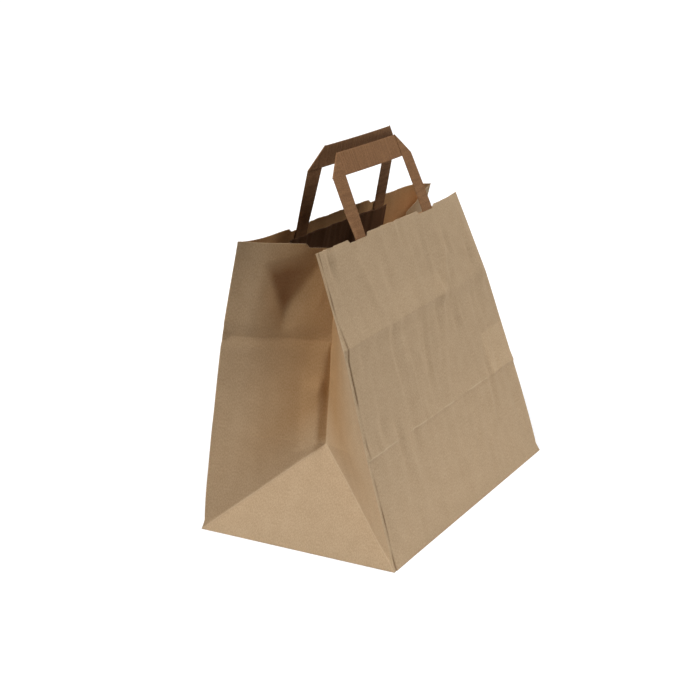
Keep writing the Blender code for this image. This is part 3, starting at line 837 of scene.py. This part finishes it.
# A three-sided prism one unit high, with its point towards +X. The scale brings its base, which
# is wider than a unit, to one pitch
PITCH_TO_BASE = 0.8660
prism = add_node(
    teeth_tree, "GeometryNodeMeshCylinder", {"Depth": teeth_in.outputs["Paper"]},
    {"Vertices": 3, "Radius": 2 / 3},
)
prism_moved = add_node(
    teeth_tree, "GeometryNodeTransform", {"Geometry": prism.outputs["Mesh"]},
    {"Translation": (1 / 3, 0.0, 0.0)},
)
whole_height = add_node(
    teeth_tree, "ShaderNodeMath",
    {0: teeth_in.outputs["Height"], 1: teeth_in.outputs["Sink"]}, operation="ADD",
)
base_scale = add_node(
    teeth_tree, "ShaderNodeMath", {0: teeth_in.outputs["Pitch"]}, {1: PITCH_TO_BASE},
    operation="MULTIPLY",
)
tooth_scale = add_node(
    teeth_tree, "ShaderNodeCombineXYZ",
    {"X": whole_height.outputs[0], "Y": base_scale.outputs[0]}, {"Z": 1.0},
)
prism_sized = add_node(
    teeth_tree, "GeometryNodeTransform",
    {"Geometry": prism_moved.outputs["Geometry"], "Scale": tooth_scale.outputs["Vector"]},
)
sunk = add_node(
    teeth_tree, "ShaderNodeMath", {0: teeth_in.outputs["Sink"]}, {1: -1.0}, operation="MULTIPLY"
)
sunk_place = add_node(teeth_tree, "ShaderNodeCombineXYZ", {"X": sunk.outputs[0]})
prism_seated = add_node(
    teeth_tree, "GeometryNodeTransform",
    {"Geometry": prism_sized.outputs["Geometry"], "Translation": sunk_place.outputs["Vector"]},
)
teeth_row = add_node(
    teeth_tree, "GeometryNodeInstanceOnPoints",
    {
        "Points": evenly.outputs["Curve"],
        "Instance": prism_seated.outputs["Geometry"],
        "Rotation": standing.outputs["Rotation"],
    },
)
teeth_real = add_node(
    teeth_tree, "GeometryNodeRealizeInstances", {"Geometry": teeth_row.outputs["Instances"]}
)
teeth_paper = add_node(
    teeth_tree, "GeometryNodeSetMaterial", {"Geometry": teeth_real.outputs["Geometry"]},
    {"Material": flap_kraft},
)
teeth_tree.links.new(teeth_paper.outputs["Geometry"], teeth_out.inputs["Geometry"])

teeth_modifier = edge_object.modifiers.new("teeth", "NODES")
teeth_modifier.node_group = teeth_tree
for socket in teeth_tree.interface.items_tree:
    if socket.in_out == "INPUT" and socket.name in teeth_sizes:
        teeth_modifier[socket.identifier] = teeth_sizes[socket.name]
graph = bpy.context.evaluated_depsgraph_get()
teeth_mesh = bpy.data.meshes.new_from_object(edge_object.evaluated_get(graph))
teeth_mesh.name = "pinked_edge"
edge_object.modifiers.remove(teeth_modifier)
bpy.data.objects.remove(edge_object)
while teeth_mesh.uv_layers:
    teeth_mesh.uv_layers.remove(teeth_mesh.uv_layers[0])
teeth_map = teeth_mesh.uv_layers.new(name="paper")
for loop in teeth_mesh.loops:
    place = teeth_mesh.vertices[loop.vertex_index].co
    teeth_map.data[loop.index].uv = (place.x + place.y, place.z)
link_piece(teeth_mesh, "bag_body")

# The handles: a strip of darker, redder kraft folded flat in several layers, with a mitred fold at
# each corner, and both legs glued inside the mouth. The strip is one band from foot to foot.

STRIP_THICK = 0.0006
HANDLE_RISE = 0.0525
HANDLE_TUCK = 0.040
HANDLE_LEAN = {"front": (23.5, 23.0), "back": (16.0, 19.0)}
HANDLE_RACK = {"front": 0.025, "back": -0.155}
HANDLE_BOW = {"front": 0.002, "back": -0.0027}
GLUE_LINE = 0.0004
HANDLE_TALLER = {"front": (0.0, 0.0), "back": (0.0, 0.0045)}
STRIP_PLAY = 0.00004
RELIEF_FADE = 0.020
EDGE_ROUND = 0.00026

ring_start = {"front": WIDTH / 2, "back": WIDTH + DEPTH + WIDTH / 2}


def ring_place(panel, x):
    """Where a place x across the front or back panel lies round the bag."""
    return ring_start[panel] + x if panel == "front" else ring_start[panel] - x


def handle_place(panel, u, v, depth):
    """A point of the flat handle as it stands: u from its middle, v above the bag's edge."""
    rise = np.clip(v / HANDLE_RISE, 0, 1)
    spread = HANDLE_SPREAD[panel] * (1 - rise)
    x = HANDLE_CENTRE[panel] + u + np.copysign(spread, u)
    foot_s, foot_t = ring_place(panel, x), HEIGHT + np.minimum(v, 0)
    foot_normals = sheet_normals(foot_s, foot_t)
    inset = PAPER + GLUE_LINE + depth - relief(foot_s, foot_t) * np.clip(1 - v / RELIEF_FADE, 0, 1)
    foot = sheet_folded(foot_s, foot_t) - foot_normals * inset[..., None]
    share = u / (HANDLE_GAP / 2 + STRIP_WIDTH)
    left_lean, right_lean = HANDLE_LEAN[panel]
    lean = np.radians(left_lean + (right_lean - left_lean) * (share + 1) / 2)
    inwards = -SIGN[panel]
    above = np.clip(v, 0, None)
    bow = HANDLE_BOW[panel] * (1 - share**2) * rise
    along = np.stack([np.full_like(u, HANDLE_RACK[panel]), inwards * np.sin(lean), np.cos(lean)], -1)
    left_more, right_more = HANDLE_TALLER[panel]
    taller = (left_more + (right_more - left_more) * (share + 1) / 2) * rise
    point = foot + along * (above + taller)[..., None]
    point[..., 1] -= inwards * bow
    return point


# The strip's section: a thin rounded oblong, as (share across, offset from its middle)
across_strip = np.linspace(-1, 1, 15)
round_share = 1 - EDGE_ROUND / (STRIP_WIDTH / 2)
face_half = STRIP_THICK / 2 - STRIP_PLAY
faces_across = across_strip * round_share
section = [(c, face_half) for c in faces_across]
section += [(1.0, face_half * k) for k in (0.6, 0, -0.6)]
section += [(c, -face_half) for c in faces_across[::-1]]
section += [(-1.0, face_half * k) for k in (-0.6, 0, 0.6)]
section = np.array(section)

strip_near = HANDLE_GAP / 2
strip_far = strip_near + STRIP_WIDTH
grip_low = HANDLE_RISE
grip_high = HANDLE_RISE + STRIP_WIDTH
leg_depth = STRIP_THICK / 2
grip_depth = 3 * STRIP_THICK / 2
FOLD_STEPS = 6
LEG_PITCH = 0.002


def strip_rows():
    """Rows of (u, v, depth, run) along the band, each with the section's points."""
    across, offset = section[:, 0], section[:, 1]
    # The mitre runs from the outer edge low to the inner edge high, as the strip sees it
    middle_u, middle_v = (strip_far + strip_near) / 2, (grip_low + grip_high) / 2
    mitre_u = middle_u - across * STRIP_WIDTH / 2
    mitre_v = middle_v + across * STRIP_WIDTH / 2
    straight_top = grip_low - 2 * LEG_PITCH
    leg_levels = np.linspace(-HANDLE_TUCK, straight_top, round((straight_top + HANDLE_TUCK) / LEG_PITCH))
    leg = [(mitre_u, np.full_like(mitre_u, level), leg_depth - offset) for level in leg_levels]
    corner_shares = np.linspace(0, 1, 9)[1:]
    corner_levels = [straight_top + (mitre_v - straight_top) * k for k in corner_shares]
    leg += [(mitre_u, level, leg_depth - offset) for level in corner_levels]
    middle_depth = (leg_depth + grip_depth) / 2
    turn_radius = (grip_depth - leg_depth) / 2
    fold = []
    for angle in np.linspace(0, math.pi, FOLD_STEPS + 2)[1:-1]:
        out = (turn_radius + offset) * math.sin(angle) / math.sqrt(2)
        fold.append((mitre_u + out, mitre_v + out, middle_depth - (turn_radius + offset) * math.cos(angle)))
    straight_end = strip_near - 2 * LEG_PITCH
    half_grip = [
        (straight_end + (mitre_u - straight_end) * k, mitre_v, grip_depth + offset)
        for k in np.linspace(1, 0, 9)
    ]
    middle_places = np.linspace(straight_end, -straight_end, round(2 * straight_end / LEG_PITCH))[1:-1]
    middle = [(np.full_like(mitre_v, -place), mitre_v, grip_depth + offset) for place in middle_places]
    # The run along the strip is measured on the flat paper: up a leg, along the grip, down a leg
    half_run = middle_u + middle_v
    left = [(-u, v, d, v) for u, v, d in leg]
    left += [(-u, v, d, half_run - u) for u, v, d in fold + half_grip]
    middle = [(u, v, d, half_run + u) for u, v, d in middle]
    right = [(u, v, d, half_run + u) for u, v, d in (fold + half_grip)[::-1]]
    right += [(u, v, d, 2 * half_run - v) for u, v, d in leg[::-1]]
    return [np.stack(part) for part in zip(*(left + middle + right))]


def handle_mesh(panel):
    u, v, depth, run = strip_rows()
    points = handle_place(panel, u, v, depth)
    count_rows, count_across = u.shape
    mesh = bpy.data.meshes.new(panel + "_strip_handle")
    index = np.arange(count_rows * count_across).reshape(count_rows, count_across)
    faces = []
    for j in range(count_rows - 1):
        for i in range(count_across):
            after = (i + 1) % count_across
            faces.append([index[j, i], index[j, after], index[j + 1, after], index[j + 1, i]])
    faces = [[int(k) for k in face] for face in faces]
    faces += [[int(k) for k in index[0][::-1]], [int(k) for k in index[-1]]]
    mesh.from_pydata(points.reshape(-1, 3).tolist(), [], faces)
    paper = mesh.uv_layers.new(name="paper")
    across_place = np.tile(section[:, 0] * STRIP_WIDTH / 2, count_rows)
    loops = np.empty(len(mesh.loops), np.int32)
    mesh.loops.foreach_get("vertex_index", loops)
    uv = np.stack([run.ravel()[loops], across_place[loops]], -1)
    paper.data.foreach_set("uv", uv.ravel().astype(np.float32))
    mesh.shade_smooth()
    solid = bmesh.new()
    solid.from_mesh(mesh)
    if solid.calc_volume(signed=True) < 0:
        bmesh.ops.reverse_faces(solid, faces=solid.faces)
    solid.to_mesh(mesh)
    solid.free()
    mesh.set_sharp_from_angle(angle=math.radians(50))
    return mesh


HANDLE_DARK = (0.180, 0.087, 0.037)
HANDLE_LIGHT = (0.258, 0.130, 0.057)
handle_paper = kraft_material(
    "handle_kraft", HANDLE_DARK, HANDLE_LIGHT,
    rib_pitch=0.0034, rib_height=0.0006, cloudiness=0.20, speckle=1.2, streak=0.50,
)
for panel in ("front", "back"):
    strip_mesh = handle_mesh(panel)
    strip_mesh.materials.append(handle_paper)
    link_piece(strip_mesh, panel + "_handle", slot="handle_kraft")

# The patches: a slip of still darker kraft glued over the two legs of each handle, inside the
# panel, its browns darkened further as painted shade for the dim inside of the mouth. It steps up over each
# leg and lies flat between them.

PATCH_WIDTH = 0.175
PATCH_HEIGHT = 0.048
PATCH_DROP = 0.012
PATCH_RAMP = 0.004


def patch_lift(panel, u, v):
    """How much the patch stands off the panel: it steps over each leg."""
    near, far = leg_span(panel)
    away = np.maximum.reduce([near - np.abs(u), np.abs(u) - far, -HANDLE_TUCK - v, np.zeros_like(u)])
    share = np.clip(1 - away / PATCH_RAMP, 0, 1)
    return (STRIP_THICK + GLUE_LINE) * share * share * (3 - 2 * share)


# Partly darker kraft, partly painted shade: the patch's browns are darkened for the shade inside the mouth
PATCH_SHADED_DARK = (0.075, 0.032, 0.012)
PATCH_SHADED_LIGHT = (0.115, 0.052, 0.021)
patch_shaded_paper = kraft_material(
    "patch_kraft_shaded", PATCH_SHADED_DARK, PATCH_SHADED_LIGHT,
    rib_pitch=0.012, rib_height=0.0002, cloudiness=0.20, speckle=0.9, streak=0.10,
)
for panel in ("front", "back"):
    patch_u, patch_v = np.meshgrid(
        np.linspace(-PATCH_WIDTH / 2, PATCH_WIDTH / 2, 121),
        np.linspace(-PATCH_DROP - PATCH_HEIGHT, -PATCH_DROP, 33),
    )
    patch_s = ring_place(panel, HANDLE_CENTRE[panel] + patch_u)
    against, against_normals = sheet_outside(patch_s, HEIGHT + patch_v)
    lift = (PAPER + GLUE_LINE + patch_lift(panel, patch_u, patch_v))[..., None]
    glued = against - against_normals * lift
    free = glued - against_normals * PAPER
    sides = (glued, free) if panel == "front" else (glued[:, ::-1], free[:, ::-1])
    patch_mesh = shell_mesh(panel + "_patch", *sides, False, np.stack([patch_u, patch_v], -1))
    patch_mesh.materials.append(patch_shaded_paper)
    link_piece(patch_mesh, panel + "_handle_patch", slot="handle_kraft")

# Where it stands: a plain white ground, soft lights high at the front right and the back left with
# weak ones overhead and low in front, and the camera at the bearing from which the bag is seen.

AZIMUTH = -59.94
ELEVATION = 17.3
ROLL = -1.36
LENS = 74.24
EYE = Vector((-1.1404, -0.6290, 0.5459))
FLOOR_SIZE = 30.0
FLOOR_GREY = 0.30
FLOOR_NEAR = 0.95
FLOOR_FAR = 0.10
ROOM_LIGHT = 0.04

azimuth, elevation = math.radians(AZIMUTH), math.radians(ELEVATION)
forward = Vector((
    -math.sin(azimuth) * math.cos(elevation), math.cos(azimuth) * math.cos(elevation), -math.sin(elevation)
))
level_right = forward.cross(Vector((0, 0, 1))).normalized()
level_up = level_right.cross(forward)
roll = math.radians(ROLL)
camera_right = level_right * math.cos(roll) + level_up * math.sin(roll)
camera_up = level_up * math.cos(roll) - level_right * math.sin(roll)
camera = bpy.data.objects.new("camera", bpy.data.cameras.new("camera"))
camera.data.lens = LENS
camera.data.sensor_width = 36.0
camera.data.clip_start = 0.01
camera.data.clip_end = 100.0
placing = Matrix((camera_right, camera_up, -forward)).transposed().to_4x4()
placing.translation = EYE
camera.matrix_world = placing
bpy.context.scene.collection.objects.link(camera)
bpy.context.scene.camera = camera

floor_mesh = bpy.data.meshes.new("floor")
half_floor = FLOOR_SIZE / 2
floor_mesh.from_pydata(
    [(x * half_floor, y * half_floor, 0) for x, y in ((-1, -1), (1, -1), (1, 1), (-1, 1))],
    [], [(0, 1, 2, 3)],
)
floor_paper = bpy.data.materials.new("floor_white")
floor_paper.use_nodes = True
floor_tree = floor_paper.node_tree
floor_shader = floor_tree.nodes["Principled BSDF"]
floor_shader.inputs["Roughness"].default_value = 0.9
floor_mesh.materials.append(floor_paper)
floor = bpy.data.objects.new("floor", floor_mesh)
bpy.context.scene.collection.objects.link(floor)


def seen_directly(tree):
    """1 for a view of it, straight, in a reflection or through glass, and 0 for the light it sheds."""
    path = tree.nodes.new("ShaderNodeLightPath")
    seen = path.outputs["Is Camera Ray"]
    for kind in ("Is Glossy Ray", "Is Transmission Ray"):
        either = add_node(tree, "ShaderNodeMath", {0: seen, 1: path.outputs[kind]}, operation="MAXIMUM")
        seen = either.outputs[0]
    return seen


# To the camera the ground is white, with the bag's faint shadow. To the light it is a pale sheet
# round the bag's foot, and dark further away
floor_seen = seen_directly(floor_tree)
floor_place = add_node(floor_tree, "ShaderNodeTexCoord")
floor_out = add_node(
    floor_tree, "ShaderNodeVectorMath", {0: floor_place.outputs["Object"]}, operation="LENGTH"
)
bounce = add_node(
    floor_tree, "ShaderNodeMapRange", {"Value": floor_out.outputs["Value"]},
    {"From Min": 0.30, "From Max": 0.75, "To Min": FLOOR_NEAR, "To Max": FLOOR_FAR},
)
floor_colour = add_node(
    floor_tree, "ShaderNodeMix", {0: floor_seen, 6: bounce.outputs["Result"]}, data_type="RGBA"
)
floor_colour.inputs[7].default_value = (FLOOR_GREY, FLOOR_GREY, FLOOR_GREY, 1.0)
floor_tree.links.new(floor_colour.outputs[2], floor_shader.inputs["Base Color"])
glow_level = add_node(
    floor_tree, "ShaderNodeMapRange", {"Value": floor_out.outputs["Value"]},
    {"From Min": 0.35, "From Max": 1.1, "To Min": 0.80, "To Max": 1.0},
)
floor_glow = add_node(
    floor_tree, "ShaderNodeMath", {0: glow_level.outputs["Result"], 1: floor_seen}, operation="MULTIPLY"
)
floor_shader.inputs["Emission Color"].default_value = (1.0, 1.0, 1.0, 1.0)
floor_tree.links.new(floor_glow.outputs[0], floor_shader.inputs["Emission Strength"])

world = bpy.data.worlds.new("room")
world.use_nodes = True
world_tree = world.node_tree
background = world_tree.nodes["Background"]
background.inputs["Color"].default_value = (1.0, 1.0, 1.0, 1.0)
world_level = add_node(
    world_tree, "ShaderNodeMapRange",
    {"Value": seen_directly(world_tree)}, {"To Min": ROOM_LIGHT, "To Max": 1.0},
)
world_tree.links.new(world_level.outputs["Result"], background.inputs["Strength"])
bpy.context.scene.world = world


def soft_lamp(name, place, aim, size, watts):
    lamp = bpy.data.objects.new(name, bpy.data.lights.new(name, "AREA"))
    lamp.data.shape = "DISK"
    lamp.data.size = size
    lamp.data.energy = watts
    lamp.location = place
    lamp.rotation_euler = (Vector(aim) - Vector(place)).to_track_quat("-Z", "Y").to_euler()
    bpy.context.scene.collection.objects.link(lamp)
    return lamp


soft_lamp("right_lamp", (0.80, -1.15, 1.95), (0, 0, 0.1), 0.8, 31)
soft_lamp("left_lamp", (-1.35, 0.45, 1.7), (0, 0, 0.1), 0.9, 37)
soft_lamp("overhead_lamp", (-0.1, -0.1, 2.3), (0, 0, 0.1), 1.2, 4)
low_fill = soft_lamp("low_fill", (-0.05, -0.60, 0.07), (-0.02, 0, 0.07), 0.25, 0.36)
low_fill.visible_camera = False

bpy.context.scene.view_settings.view_transform = "Standard"
